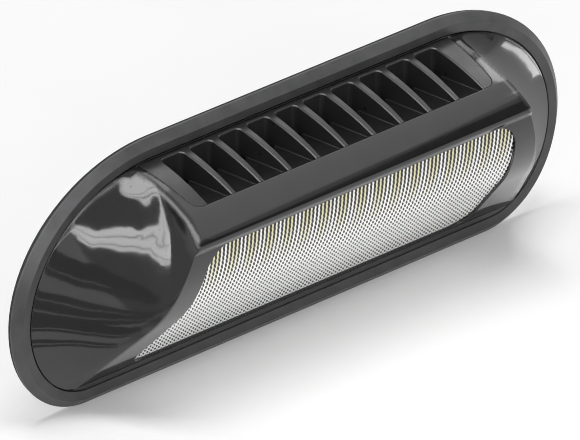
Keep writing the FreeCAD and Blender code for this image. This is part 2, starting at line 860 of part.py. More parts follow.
def make_heat_sink():
    """Tilted plate, solid bar along its top and upright fins behind it."""
    x = -(size("cavity_halfwidth") - size("fit_clearance"))
    front = sink_front()
    reach = size("board_halfwidth") + size("sink_lip")
    upper = tilted(front, reach)
    lower = tilted(front, -reach)
    lower_rear = tilted(front + size("sink_plate_thickness"), -reach)
    slope = math.tan(math.radians(size("optic_tilt")))
    rear = size("sink_rear_depth")
    plate_rear_height = lower_rear[1] + (rear - lower_rear[0]) / slope
    ceiling = shelf_underside
    points = depth_height(x, [
        lower, upper, (upper[0], ceiling), (rear, ceiling), (rear, plate_rear_height), lower_rear,
    ])
    blank = prism(polygon_edges(points + points[:1]), -x)
    gaps = int(size("fin_count")) - 1
    pitch = (-2.0 * x - size("fin_thickness")) / gaps
    bar_rear = sink_bar_rear()
    bar_foot = lower_rear[1] + (bar_rear - lower_rear[0]) / slope
    cuts = []
    for index in range(gaps):
        gap_x = x + size("fin_thickness") + index * pitch
        gap = depth_height(gap_x, [
            (rear, plate_rear_height), (bar_rear, bar_foot), (bar_rear, ceiling + 1.0), (rear, ceiling + 1.0),
        ])
        section = Part.Face(Part.Wire(polygon_edges(gap + gap[:1])))
        cuts.append(section.extrude(Vector(pitch - size("fin_thickness"), 0, 0)))
    place = optic_placement()
    for px, pz in board_screw_places():
        hole = Part.makeCylinder(size("screw_radius"), size("board_screw_length") + 1.0, Vector(px, -1, pz), Vector(0, 1, 0))
        hole.Placement = place.multiply(hole.Placement)
        cuts.append(hole)
    for px, depth in sink_screw_places():
        length = size("sink_screw_length")
        cuts.append(Part.makeCylinder(size("screw_radius"), length, at(px, depth, ceiling + 1.0 - length)))
    return blank.cut(cuts)


def make_reflector_tray():
    """White tray over the LED board, with a window for the row of LEDs."""
    x = -(size("cavity_halfwidth") - size("fit_clearance"))
    thick = size("tray_thickness")
    reach = size("board_halfwidth")
    upper = tilted(0.0, reach)
    lower = tilted(0.0, -reach)
    foot, bend, middle, top = face_points(cavity_offset)
    run_out, rise = face_slope()
    down = (lower[0] - flange_rear) / run_out - 2.0 * thick
    wing_low = (lower[0] - down * run_out + thick, lower[1] - down * rise)
    wing_high = (top[0] - thick, top[1])
    outline = [
        upper, lower, (wing_low[0] - thick, wing_low[1]), wing_low,
        tilted(-thick, -reach + thick), tilted(-thick, reach - thick),
        wing_high, (wing_high[0] - thick, wing_high[1] + thick),
    ]
    points = depth_height(x, outline)
    tray = prism(polygon_edges(points + points[:1]), -x)
    window_end = led_span() / 2.0 + size("led_size")
    window = Part.makeBox(
        2.0 * window_end, 4.0 * thick, 2.0 * size("tray_window_halfwidth"),
        Vector(-window_end, -2.0 * thick, -size("tray_window_halfwidth")),
    )
    window.Placement = optic_placement()
    cuts = [window]
    for px, pz in board_screw_places():
        radius = size("screw_head_radius") + size("hole_clearance")
        hole = Part.makeCylinder(radius, 4.0 * thick, Vector(px, -2.0 * thick, pz), Vector(0, 1, 0))
        hole.Placement = optic_placement().multiply(hole.Placement)
        cuts.append(hole)
    return tray.cut(cuts)


# Driver parts, all on the front of the driver board


def driver_rear():
    return cover_front + size("driver_standoff")


def driver_front():
    return driver_rear() + size("board_thickness")


def make_driver_screws():
    screw = pan_screw(size("driver_screw_length"))
    made = copies(screw, driver_hole_places())
    made.translate(Vector(0, -driver_front(), 0))
    return made


def header_x():
    return half("driver_length") - 0.75 * size("header_length")


def capacitor_x(index):
    """Capacitors in a row, counted from the power header inwards."""
    last = header_x() - half("header_length") - size("capacitor_gap") - size("capacitor_radius")
    return last - index * (2.0 * size("capacitor_radius") + size("capacitor_spacing"))


def chip_x(index):
    """Chips next to the row of capacitors, counted inwards."""
    beside = capacitor_x(int(size("capacitor_count")) - 1) - size("capacitor_radius") - size("chip_gap")
    return beside - half("chip_length") - index * size("chip_pitch")


def inductor_x():
    return chip_x(2) - half("chip_length") - size("inductor_gap") - size("inductor_radius")


def make_driver_capacitors():
    made = []
    for index in reversed(range(int(size("capacitor_count")))):
        front = driver_front() + size("capacitor_length")
        place = capacitor_x(index), size("driver_centre_height")
        made.append(bore(*place, size("capacitor_radius"), driver_front(), front))
    return Part.makeCompound(made)


def make_driver_chips():
    made = []
    length = size("chip_length")
    for index, level in ((2, 1.0), (1, -1.0), (0, 1.0)):
        centre = size("driver_centre_height") + level * size("chip_stagger")
        corner = at(chip_x(index) - length / 2.0, driver_front() + size("chip_thickness"), centre - length / 2.0)
        made.append(Part.makeBox(length, size("chip_thickness"), length, corner))
    return Part.makeCompound(made)


def make_mounting_inserts():
    made = []
    front = flange_rear + size("insert_length")
    for x, height in insert_places():
        sleeve = bore(x, height, size("insert_radius"), 0.0, front)
        made.append(sleeve.cut(bore(x, height, size("insert_bore_radius"), -1.0, front - 1.0)))
    return Part.makeCompound(made)


def make_cover_screws():
    return copies(flat_screw(size("cover_screw_length")), cover_screw_places())


# PartDesign pieces


def new_body(name):
    body = doc.addObject("PartDesign::Body", name)
    body.Label = name
    return body


def sketch_on(body, role):
    sketch = body.newObject("Sketcher::SketchObject", body.Label + "_sketch")
    plane = [item for item in body.Origin.OriginFeatures if item.Role == role][0]
    sketch.AttachmentSupport = (plane, [""])
    sketch.MapMode = "FlatFace"
    return sketch


def draw_rectangle(sketch, width, height, foot=None):
    """A rectangle centred on the sketch's origin, or standing at a foot distance over it."""
    import Sketcher
    corners = [Vector(-5, 5, 0), Vector(5, 5, 0), Vector(5, 10, 0), Vector(-5, 10, 0)]
    for i in range(4):
        sketch.addGeometry(Part.LineSegment(corners[i], corners[(i + 1) % 4]), False)
    for i in range(4):
        sketch.addConstraint(Sketcher.Constraint("Coincident", i, 2, (i + 1) % 4, 1))
    for i, kind in enumerate(("Horizontal", "Vertical", "Horizontal", "Vertical")):
        sketch.addConstraint(Sketcher.Constraint(kind, i))
    wide = sketch.addConstraint(Sketcher.Constraint("DistanceX", 0, 1, 0, 2, 10))
    sketch.setExpression("Constraints[%d]" % wide, width)
    high = sketch.addConstraint(Sketcher.Constraint("DistanceY", 1, 1, 1, 2, 5))
    sketch.setExpression("Constraints[%d]" % high, height)
    if foot is None:
        sketch.addConstraint(Sketcher.Constraint("Symmetric", 0, 1, 2, 1, -1, 1))
        return
    sketch.addConstraint(Sketcher.Constraint("Symmetric", 0, 1, 0, 2, -2))
    low = sketch.addConstraint(Sketcher.Constraint("DistanceY", -1, 1, 0, 1, 5))
    sketch.setExpression("Constraints[%d]" % low, foot)


def pad(body, sketch, length, backwards=False):
    feature = body.newObject("PartDesign::Pad", body.Label + "_pad")
    feature.Profile = sketch
    feature.setExpression("Length", length)
    feature.Reversed = backwards
    doc.recompute()
    return feature


def draw_circles(sketch, radius, centres):
    """Circles of one radius; centres are pairs of expressions for positive x and y."""
    import Sketcher
    for sign_x, sign_y, x, y in centres:
        start = Vector(10 * sign_x, 10 * sign_y, 0)
        index = sketch.addGeometry(Part.Circle(start, Vector(0, 0, 1), 1.0), False)
        round_size = sketch.addConstraint(Sketcher.Constraint("Radius", index, 1.0))
        sketch.setExpression("Constraints[%d]" % round_size, radius)
        for kind, sign, value in (("DistanceX", sign_x, x), ("DistanceY", sign_y, y)):
            ends = (-1, 1, index, 3) if sign > 0 else (index, 3, -1, 1)
            distance = sketch.addConstraint(Sketcher.Constraint(kind, *ends, 10))
            sketch.setExpression("Constraints[%d]" % distance, value)


def pocket_through(body, sketch):
    before = body.Shape.Volume
    feature = body.newObject("PartDesign::Pocket", body.Label + "_holes")
    feature.Profile = sketch
    feature.Type = 1
    doc.recompute()
    if body.Shape.Volume >= before - 1e-6:
        feature.Reversed = True
        doc.recompute()
    return feature


def plate_with_holes(name, width, height, thickness, radius, hole_x, hole_y):
    """A flat plate in the XZ plane with a hole near each corner, thick towards +Y."""
    body = new_body(name)
    outline = sketch_on(body, "XZ_Plane")
    draw_rectangle(outline, width, height)
    pad(body, outline, thickness, True)
    if body.Shape.BoundBox.YMin < -0.001:
        body.Tip.Reversed = False
        doc.recompute()
    holes = sketch_on(body, "XZ_Plane")
    draw_circles(holes, radius, [(sx, sy, hole_x, hole_y) for sx in (-1, 1) for sy in (-1, 1)])
    pocket_through(body, holes)
    return body


def revolved(name, points, place):
    """A turned piece: radius and depth pairs, as expressions, round the piece's own axis."""
    import Sketcher
    body = new_body(name)
    sketch = sketch_on(body, "XY_Plane")
    count = len(points)
    rough = [(5 + 5 * abs(math.cos(i)), 5 * i) for i in range(count)]
    for i in range(count):
        first, second = rough[i], rough[(i + 1) % count]
        sketch.addGeometry(Part.LineSegment(Vector(*first, 0), Vector(*second, 0)), False)
    for i in range(count):
        sketch.addConstraint(Sketcher.Constraint("Coincident", i, 2, (i + 1) % count, 1))
    for i, (radius, depth) in enumerate(points):
        if radius == "0":
            sketch.addConstraint(Sketcher.Constraint("PointOnObject", i, 1, -2))
        else:
            wide = sketch.addConstraint(Sketcher.Constraint("DistanceX", -1, 1, i, 1, rough[i][0]))
            sketch.setExpression("Constraints[%d]" % wide, radius)
        if depth == "0":
            sketch.addConstraint(Sketcher.Constraint("PointOnObject", i, 1, -1))
        else:
            far = sketch.addConstraint(Sketcher.Constraint("DistanceY", -1, 1, i, 1, rough[i][1] + 1))
            sketch.setExpression("Constraints[%d]" % far, depth)
    doc.recompute()
    turn = body.newObject("PartDesign::Revolution", name + "_turn")
    turn.Profile = sketch
    turn.ReferenceAxis = (sketch, ["V_Axis"])
    turn.Angle = 360.0
    doc.recompute()
    body.Placement = place
    return body


def facing_out(x, depth, height):
    """Turns a piece drawn along +Y so that it stands out from the wall."""
    return Placement(at(x, depth, height), Rotation(Vector(1, 0, 0), 180))


def make_led_board():
    body = plate_with_holes(
        "led_board", "2 * (Sizes.cavity_halfwidth - Sizes.board_end_gap)", "2 * Sizes.board_halfwidth",
        "Sizes.board_thickness", "Sizes.screw_radius + Sizes.hole_clearance",
        "Sizes.cavity_halfwidth - Sizes.board_end_gap - Sizes.screw_head_radius - 1",
        "Sizes.board_halfwidth - Sizes.screw_head_radius - 1",
    )
    body.Placement = optic_placement()


def make_thermal_pad():
    body = plate_with_holes(
        "thermal_pad", "2 * (Sizes.cavity_halfwidth - Sizes.board_end_gap)", "2 * Sizes.board_halfwidth",
        "Sizes.pad_thickness", "Sizes.screw_radius + Sizes.hole_clearance",
        "Sizes.cavity_halfwidth - Sizes.board_end_gap - Sizes.screw_head_radius - 1",
        "Sizes.board_halfwidth - Sizes.screw_head_radius - 1",
    )
    place = optic_placement()
    body.Placement = place.multiply(Placement(Vector(0, size("board_thickness"), 0), Rotation()))


def make_driver_board():
    body = plate_with_holes(
        "driver_board", "Sizes.driver_length", "Sizes.driver_width", "Sizes.board_thickness",
        "Sizes.screw_radius + Sizes.hole_clearance",
        "Sizes.driver_length / 2 - Sizes.driver_hole_inset",
        "Sizes.driver_width / 2 - Sizes.driver_hole_inset",
    )
    body.Placement = Placement(at(0, driver_front(), size("driver_centre_height")), Rotation())


def make_header(name, x):
    body = new_body(name)
    outline = sketch_on(body, "XZ_Plane")
    draw_rectangle(outline, "Sizes.header_length", "Sizes.header_width")
    pad(body, outline, "Sizes.header_thickness")
    if body.Shape.BoundBox.YMin > -0.001:
        body.Tip.Reversed = True
        doc.recompute()
    body.Placement = Placement(at(x, driver_front(), size("driver_centre_height")), Rotation())


def make_driver_inductor():
    radius, height = "Sizes.inductor_radius", "Sizes.inductor_thickness"
    points = [
        ("0", "0"), (radius, "0"), (radius, height + " / 6"), (radius + " * 0.8", height + " / 4"),
        (radius + " * 0.8", height + " * 3 / 4"), (radius, height + " * 5 / 6"), (radius, height), ("0", height),
    ]
    revolved("driver_inductor", points, facing_out(inductor_x(), driver_front(), size("driver_centre_height")))


def make_cable_grommet():
    points = [
        ("Sizes.inlet_bore_radius", "0"),
        ("Sizes.inlet_radius - Sizes.hole_clearance / 2", "0"),
        ("Sizes.inlet_radius - Sizes.hole_clearance / 2", "Sizes.cover_thickness"),
        ("Sizes.inlet_flange_radius", "Sizes.cover_thickness"),
        ("Sizes.inlet_flange_radius", "Sizes.cover_thickness + Sizes.inlet_flange_thickness / 2"),
        ("Sizes.inlet_bore_radius + 1", "Sizes.cover_thickness + Sizes.inlet_flange_thickness"),
        ("Sizes.inlet_bore_radius", "Sizes.cover_thickness + Sizes.inlet_flange_thickness"),
    ]
    cable = inlet_places()[0]
    revolved("cable_grommet", points, facing_out(cable[0], 0.0, cable[1]))


def make_breather_plug():
    points = [
        ("0", "0"),
        ("Sizes.breather_radius - Sizes.hole_clearance / 2", "0"),
        ("Sizes.breather_radius - Sizes.hole_clearance / 2", "Sizes.cover_thickness"),
        ("Sizes.breather_flange_radius", "Sizes.cover_thickness"),
        ("Sizes.breather_flange_radius", "Sizes.cover_thickness + Sizes.breather_flange_thickness"),
        ("0", "Sizes.cover_thickness + Sizes.breather_flange_thickness"),
    ]
    breather = inlet_places()[1]
    revolved("breather_plug", points, facing_out(breather[0], 0.0, breather[1]))


# The document


def add_piece(name, shape, placement=None):
    piece = doc.addObject("Part::Feature", name)
    piece.Label = name
    piece.Shape = shape
    if placement is not None:
        piece.Placement = placement
    return piece


def build():
    add_piece("mounting_gasket", make_mounting_gasket())
    add_piece("bezel_ring", make_bezel_ring())
    add_piece("housing_shell", make_housing_shell())
    add_piece("vent_grille", make_vent_grille())
    add_piece("lens", make_lens())
    add_piece("lens_gasket", make_lens_gasket())
    add_piece("reflector_tray", make_reflector_tray())
    make_led_board()
    add_piece("led_chips", make_led_chips(), optic_placement())
    add_piece("led_board_screws", make_led_board_screws(), optic_placement())
    make_thermal_pad()
    add_piece("heat_sink", make_heat_sink())
    add_piece("heat_sink_screws", make_sink_screws())
    make_driver_board()
    add_piece("driver_board_screws", make_driver_screws())
    add_piece("driver_capacitors", make_driver_capacitors())
    add_piece("driver_chips", make_driver_chips())
    make_driver_inductor()
    make_header("power_header", header_x())
    add_piece("rear_cover", make_rear_cover())
    add_piece("rear_cover_seal", make_rear_cover_seal())
    add_piece("rear_cover_screws", make_cover_screws())
    make_cable_grommet()
    make_breather_plug()
    add_piece("mounting_inserts", make_mounting_inserts())
    doc.recompute()


def check_and_export():
    for item in doc.Objects:
        if "Invalid" in item.State or "Error" in item.State:
            raise RuntimeError("%s did not compute: %s" % (item.Label, item.State))
    for item in doc.Objects:
        if item.TypeId not in ("Part::Feature", "PartDesign::Body"):
            continue
        shape = item.Shape
        if shape.isNull() or not shape.isValid() or not shape.Solids:
            raise RuntimeError("%s has no valid solid" % item.Label)
        shape.exportStep("parts/%s.step" % item.Label)
        box = shape.BoundBox
        print("%-22s solids %2d volume %9.1f  x %7.2f..%7.2f  y %7.2f..%7.2f  z %7.2f..%7.2f" % (
            item.Label, len(shape.Solids), shape.Volume,
            box.XMin, box.XMax, box.YMin, box.YMax, box.ZMin, box.ZMax))


build()
check_and_export()
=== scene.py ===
import math

import bpy
from mathutils import Matrix, Vector


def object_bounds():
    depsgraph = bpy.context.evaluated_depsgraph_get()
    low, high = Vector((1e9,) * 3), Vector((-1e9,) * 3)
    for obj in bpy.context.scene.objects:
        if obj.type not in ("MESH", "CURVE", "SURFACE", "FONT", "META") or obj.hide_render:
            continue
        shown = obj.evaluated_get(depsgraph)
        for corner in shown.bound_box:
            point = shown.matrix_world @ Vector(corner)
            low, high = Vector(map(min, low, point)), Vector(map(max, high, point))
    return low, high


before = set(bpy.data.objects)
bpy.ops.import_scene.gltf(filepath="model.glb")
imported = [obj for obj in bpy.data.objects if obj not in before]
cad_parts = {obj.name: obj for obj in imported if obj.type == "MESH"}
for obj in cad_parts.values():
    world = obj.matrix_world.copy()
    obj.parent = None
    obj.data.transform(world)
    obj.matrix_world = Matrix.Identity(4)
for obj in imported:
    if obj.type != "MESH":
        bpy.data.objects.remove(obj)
cad_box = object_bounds()

MM = 0.001


# Materials

# The span that a noise texture's values seldom leave
NOISE_SPAN = (0.3, 0.7)
ROUNDING_SAMPLES = 12


class Finish:
    """A principled material that is built up node by node; lengths are in millimetres."""

    def __init__(self, name, color, roughness, sockets=None):
        self.material = bpy.data.materials.new(name)
        self.material.use_nodes = True
        self.tree = self.material.node_tree
        self.shader = self.tree.nodes["Principled BSDF"]
        self.shader.inputs["Base Color"].default_value = (*color, 1.0)
        self.shader.inputs["Roughness"].default_value = roughness
        for socket, value in (sockets or {}).items():
            self.shader.inputs[socket].default_value = value
        self.color = color
        self.place = self.node("ShaderNodeTexCoord").outputs["Object"]

    def node(self, kind, **settings):
        made = self.tree.nodes.new(kind)
        for key, value in settings.items():
            setattr(made, key, value)
        return made

    def link(self, source, target):
        self.tree.links.new(source, target)

    def set(self, socket, value):
        self.link(value, self.shader.inputs[socket])

    def split(self):
        """The x, y and z of the shaded point."""
        made = self.node("ShaderNodeSeparateXYZ")
        self.link(self.place, made.inputs[0])
        return made.outputs

    def math(self, operation, *values):
        """A math node on numbers and on other nodes' outputs."""
        made = self.node("ShaderNodeMath", operation=operation)
        for socket, value in zip(made.inputs, values):
            if isinstance(value, (int, float)):
                socket.default_value = value
            else:
                self.link(value, socket)
        return made.outputs[0]

    def mapped(self, value, low, high, start=0.0, end=1.0):
        """Runs from start to end as the value goes from low to high, and stays there."""
        made = self.node("ShaderNodeMapRange")
        made.inputs["From Min"].default_value = low
        made.inputs["From Max"].default_value = high
        made.inputs["To Min"].default_value = start
        made.inputs["To Max"].default_value = end
        self.link(value, made.inputs["Value"])
        return made.outputs["Result"]

    def mixed(self, share, first, second):
        """A blend of two colours, each three numbers or another node's output."""
        made = self.node("ShaderNodeMix", data_type="RGBA")
        self.link(share, made.inputs["Factor"])
        sockets = [item for item in made.inputs if item.type == "RGBA"]
        for socket, value in zip(sockets, (first, second)):
            if isinstance(value, (tuple, list)):
                socket.default_value = (*value, 1.0)
            else:
                self.link(value, socket)
        return [item for item in made.outputs if item.type == "RGBA"][0]

    def noise(self, size, detail=4.0):
        made = self.node("ShaderNodeTexNoise")
        made.inputs["Scale"].default_value = 1.0 / (size * MM)
        made.inputs["Detail"].default_value = detail
        self.link(self.place, made.inputs["Vector"])
        return made.outputs["Fac"]

    def rounded(self, radius):
        """Rounds the look of edges; the radius is a number, or an output in metres."""
        made = self.node("ShaderNodeBevel", samples=ROUNDING_SAMPLES)
        if isinstance(radius, float):
            made.inputs["Radius"].default_value = radius * MM
        else:
            self.link(radius, made.inputs["Radius"])
        return made.outputs["Normal"]

    def vary_color(self, share, size):
        """Mottles the base colour by a share of itself."""
        dark = [part * (1.0 - share) for part in self.color]
        light = [min(part * (1.0 + share), 1.0) for part in self.color]
        spots = self.mapped(self.noise(size, detail=5.0), *NOISE_SPAN)
        self.set("Base Color", self.mixed(spots, dark, light))

    def vary_roughness(self, low, high, size):
        self.set("Roughness", self.mapped(self.noise(size), *NOISE_SPAN, low, high))

    def grain(self, size, depth, strength, detail=3.0, under=None):
        """A fine bump, over the rounded normal where one is given."""
        made = self.node("ShaderNodeBump")
        made.inputs["Strength"].default_value = strength
        made.inputs["Distance"].default_value = depth * MM
        self.link(self.noise(size, detail), made.inputs["Height"])
        if under is not None:
            self.link(under, made.inputs["Normal"])
        self.set("Normal", made.outputs["Normal"])


# Edges that are sharp in the solid and round in the moulding: the hood's shoulder,
# and the fronts of its two ends, where the rounding fades out towards the rim
SHOULDER_FROM_MIDDLE = (69.0 * MM, 72.0 * MM)
SHOULDER_HEIGHT = (26.0 * MM, 32.0 * MM)
SHOULDER_SHARE = 0.6
END_FROM_MIDDLE = (80.0 * MM, 86.0 * MM)
END_TO_RIM = (-9.5 * MM, -7.0 * MM)
SHARP_RADIUS = 0.35 * MM
ROUND_RADIUS = 5.5 * MM


def gloss_black():
    made = Finish("gloss_black_moulding", (0.012, 0.012, 0.013), 0.07, {
        "IOR": 1.5, "Coat Weight": 0.4, "Coat Roughness": 0.04})
    made.vary_color(0.15, size=9.0)
    made.vary_roughness(0.05, 0.1, size=22.0)
    x, y, z = made.split()
    from_middle = made.math("ABSOLUTE", x)
    shoulder = made.math(
        "MULTIPLY", made.mapped(from_middle, *SHOULDER_FROM_MIDDLE), made.mapped(z, *SHOULDER_HEIGHT))
    end = made.math(
        "MULTIPLY", made.mapped(from_middle, *END_FROM_MIDDLE), made.mapped(y, *END_TO_RIM, 1.0, 0.0))
    soft = made.math("MAXIMUM", made.math("MULTIPLY", shoulder, SHOULDER_SHARE), end)
    edge = made.rounded(made.mapped(soft, 0.0, 1.0, SHARP_RADIUS, ROUND_RADIUS))
    made.grain(size=1.2, depth=0.004, strength=0.1, detail=2.0, under=edge)
    return made.material


def satin_rim():
    made = Finish("satin_black_rim", (0.058, 0.058, 0.06), 0.42)
    made.vary_color(0.2, size=6.0)
    made.vary_roughness(0.36, 0.5, size=3.0)
    made.grain(size=0.45, depth=0.05, strength=0.5, under=made.rounded(0.4))
    return made.material


def satin_grille():
    made = Finish("satin_black_grille", (0.024, 0.024, 0.025), 0.32)
    made.vary_roughness(0.27, 0.38, size=5.0)
    made.grain(size=0.3, depth=0.02, strength=0.3, under=made.rounded(0.3))
    return made.material


def foam_rubber():
    made = Finish("foam_rubber", (0.012, 0.012, 0.012), 0.85)
    made.vary_color(0.35, size=1.0)
    made.grain(size=0.5, depth=0.12, strength=0.8)
    return made.material


def plain_plastic(name, color, roughness):
    made = Finish(name, color, roughness)
    made.vary_color(0.06, size=8.0)
    made.vary_roughness(roughness * 0.85, roughness * 1.15, size=4.0)
    made.grain(size=0.4, depth=0.02, strength=0.3)
    return made.material


def plain_metal(name, color, roughness):
    made = Finish(name, color, roughness, {"Metallic": 1.0})
    made.vary_color(0.08, size=5.0)
    made.vary_roughness(roughness * 0.8, roughness * 1.25, size=1.5)
    made.grain(size=0.15, depth=0.01, strength=0.4)
    return made.material


def phosphor():
    made = Finish("led_phosphor", (0.93, 0.74, 0.16), 0.3)
    made.vary_color(0.1, size=0.6)
    return made.material


# The lens section: a slope, measured from upright, that turns upright in an arc
SLOPE = math.radians(40.8)
BEND_HEIGHT = -2.06 * MM
ARC_RADIUS = 44.06 * MM
ARC_CENTRE_HEIGHT = 26.71 * MM

# Its grid of prisms: from the slope's pitch and lean to the upright's within the run-in
COLUMN_PITCH = 1.75 * MM
COLUMN_LEAN = 5.2 * MM
ROW_PITCH_LOW = 2.97 * MM
ROW_PITCH_HIGH = 1.75 * MM
RUN_IN = 12.0 * MM

# Round dots low down, with a soft edge, grow into dark stripes near the top
DOT_EDGE = (0.075, 0.14)
STRIPES_RISE = (-4.0 * MM, 26.0 * MM)
STRIPE_SQUASH = 0.25

# The LEDs show through the upper part as warm columns
LED_PITCH = 8.25 * MM
LED_EDGE = (0.1, 0.32)
WARM_RISE = (8.0 * MM, 22.0 * MM)

# These colours also tint the lens's painted glow.
LENS_WHITE = (0.93, 0.93, 0.92)
LENS_WARM = (0.74, 0.70, 0.45)
LENS_DARK = (0.012, 0.012, 0.012)
UNLIT = (0.0, 0.0, 0.0)
# Height of the painted highlight band along the lens's lower edge
PAINTED_HIGHLIGHT_BAND = 0.5 * MM


def way_up_lens(made, z):
    """The distance up the lens from its bend, measured along its surface."""
    on_slope = made.math("DIVIDE", made.math("SUBTRACT", z, BEND_HEIGHT), math.cos(SLOPE))
    fall = made.math("DIVIDE", made.math("SUBTRACT", ARC_CENTRE_HEIGHT, z), ARC_RADIUS)
    turn = made.math("SUBTRACT", SLOPE, made.math("ARCSINE", made.math("MINIMUM", fall, 1.0)))
    on_arc = made.math("MULTIPLY", turn, ARC_RADIUS)
    above = made.math("GREATER_THAN", z, BEND_HEIGHT)
    low = made.math("MULTIPLY", made.math("SUBTRACT", 1.0, above), on_slope)
    return made.math("MULTIPLY_ADD", above, on_arc, low)


def through_run_in(made, way):
    """The way within the run-in, and half its square as a share of the run-in."""
    inside = made.math("MINIMUM", made.math("MAXIMUM", way, 0.0), RUN_IN)
    return inside, made.math("MULTIPLY", made.math("MULTIPLY", inside, inside), 0.5 / RUN_IN)


def prism_rows(made, way):
    """Rows counted up the lens: wide apart on the slope, closer above the bend."""
    gained = through_run_in(made, way)[1]
    beyond = made.math("MAXIMUM", made.math("SUBTRACT", way, RUN_IN), 0.0)
    change = 1.0 / ROW_PITCH_HIGH - 1.0 / ROW_PITCH_LOW
    extra = made.math("MULTIPLY", made.math("ADD", gained, beyond), change)
    return made.math("MULTIPLY_ADD", way, 1.0 / ROW_PITCH_LOW, extra)


def prism_columns(made, x, way):
    """Columns counted along the lens: leaning on the slope, upright above the run-in."""
    inside, gained = through_run_in(made, way)
    leaning = made.math("ADD", made.math("MINIMUM", way, 0.0), made.math("SUBTRACT", inside, gained))
    lean = made.math("DIVIDE", leaning, COLUMN_LEAN)
    return made.math("ADD", made.math("DIVIDE", x, COLUMN_PITCH), lean)


def from_cell_middle(made, cells):
    """0 in the middle of a cell, 0.5 at its two edges."""
    return made.math("ABSOLUTE", made.math("SUBTRACT", made.math("FRACT", cells), 0.5))


def lens_foot():
    """Height of the lens's lowest edge."""
    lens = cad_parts["lens"]
    return min((lens.matrix_world @ corner.co).z for corner in lens.data.vertices)


def prism_lens():
    """Clear moulding whose inside is a slanted grid of small prisms that shows white, with a painted
    glow in its white and warm cells.
    """
    # The emission strength gives the lens a painted glow; nothing inside it is lit.
    made = Finish("prism_lens", LENS_WHITE, 0.25, {
        "Specular IOR Level": 0.25, "Coat Weight": 0.3, "Coat Roughness": 0.03,
        "Emission Strength": 0.22})
    x, _, z = made.split()
    way = way_up_lens(made, z)
    columns = prism_columns(made, x, way)
    across = from_cell_middle(made, columns)
    along = from_cell_middle(made, made.math("ADD", prism_rows(made, way), columns))
    squash = made.mapped(z, *STRIPES_RISE, 1.0, STRIPE_SQUASH)
    squashed = made.math("MULTIPLY", made.math("MULTIPLY", along, along), squash)
    shown = made.mapped(made.math("MULTIPLY_ADD", across, across, squashed), *DOT_EDGE)
    # The lower edge has no prisms; a thin band along it is painted white and glowing, a painted
    # highlight.
    edge = made.math("LESS_THAN", z, lens_foot() + PAINTED_HIGHLIGHT_BAND)
    shown = made.math("MAXIMUM", shown, edge)
    led = from_cell_middle(made, made.math("DIVIDE", x, LED_PITCH))
    warmth = made.math("MULTIPLY", made.mapped(led, *LED_EDGE), made.mapped(z, *WARM_RISE))
    white = made.mixed(warmth, LENS_WHITE, LENS_WARM)
    made.set("Base Color", made.mixed(shown, LENS_DARK, white))
    # Painted glow: the white and warm cells and the lower edge glow, the dots do not.
    made.set("Emission Color", made.mixed(shown, UNLIT, white))
    return made.material


MATERIALS = {
    "mounting_gasket": foam_rubber(),
    "bezel_ring": satin_rim(),
    "housing_shell": gloss_black(),
    "vent_grille": satin_grille(),
    "lens": prism_lens(),
    "reflector_tray": plain_plastic("tray_white", (0.8, 0.81, 0.8), 0.3),
    "led_board": plain_plastic("board_white", (0.78, 0.79, 0.76), 0.4),
    "led_chips": phosphor(),
    "heat_sink": plain_metal("sink_aluminium", (0.6, 0.61, 0.63), 0.35),
    "driver_board": plain_plastic("board_green", (0.03, 0.16, 0.06), 0.35),
    "driver_capacitors": plain_metal("capacitor_can", (0.7, 0.71, 0.73), 0.25),
    "driver_chips": plain_plastic("chip_black", (0.02, 0.02, 0.021), 0.5),
    "power_header": plain_plastic("header_nylon", (0.76, 0.75, 0.68), 0.45),
    "thermal_pad": plain_plastic("pad_silicone", (0.4, 0.42, 0.46), 0.7),
    "mounting_inserts": plain_metal("insert_brass", (0.72, 0.52, 0.22), 0.28),
    "led_board_screws": plain_metal("screw_steel", (0.56, 0.56, 0.57), 0.3),
}
SHARED = {
    "lens_gasket": "mounting_gasket",
    "rear_cover_seal": "mounting_gasket",
    "cable_grommet": "mounting_gasket",
    "rear_cover": "bezel_ring",
    "breather_plug": "driver_chips",
    "driver_inductor": "driver_chips",
    "heat_sink_screws": "led_board_screws",
    "driver_board_screws": "led_board_screws",
    "rear_cover_screws": "led_board_screws",
}


def dress_nodes():
    for name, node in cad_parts.items():
        node.data.materials.clear()
        node.data.materials.append(MATERIALS[SHARED.get(name, name)])


# Studio

FLOOR_SIZE = 8.0
FLOOR_GAP = 0.2 * MM
FLOOR_GLOW = 0.16
WORLD_LEVEL = 0.42
WORLD_LEVEL_IN_GLOSS = 0.5


def add_mesh(name, corners, faces, material):
    mesh = bpy.data.meshes.new(name)
    mesh.from_pydata(corners, [], faces)
    mesh.materials.append(material)
    made = bpy.data.objects.new(name, mesh)
    bpy.context.scene.collection.objects.link(made)
    return made


def floor_white():
    """A matt white that glows a little where the camera, gloss or glass sees it."""
    made = Finish("floor_white", (0.86, 0.86, 0.86), 0.9, {"Specular IOR Level": 0.0})
    made.vary_color(0.01, size=60.0)
    path = made.node("ShaderNodeLightPath").outputs
    seen = made.math("MAXIMUM", path["Is Camera Ray"], path["Is Glossy Ray"])
    seen = made.math("MAXIMUM", seen, path["Is Transmission Ray"])
    glow = made.node("ShaderNodeEmission")
    made.link(made.math("MULTIPLY", seen, FLOOR_GLOW), glow.inputs["Strength"])
    both = made.node("ShaderNodeAddShader")
    made.link(made.shader.outputs[0], both.inputs[0])
    made.link(glow.outputs[0], both.inputs[1])
    made.link(both.outputs[0], made.tree.nodes["Material Output"].inputs["Surface"])
    return made.material


def make_floor():
    half = FLOOR_SIZE / 2.0
    corners = [(-half, -half, 0.0), (half, -half, 0.0), (half, half, 0.0), (-half, half, 0.0)]
    floor = add_mesh("floor", corners, [(0, 1, 2, 3)], floor_white())
    floor.location.z = cad_box[0][2] - FLOOR_GAP


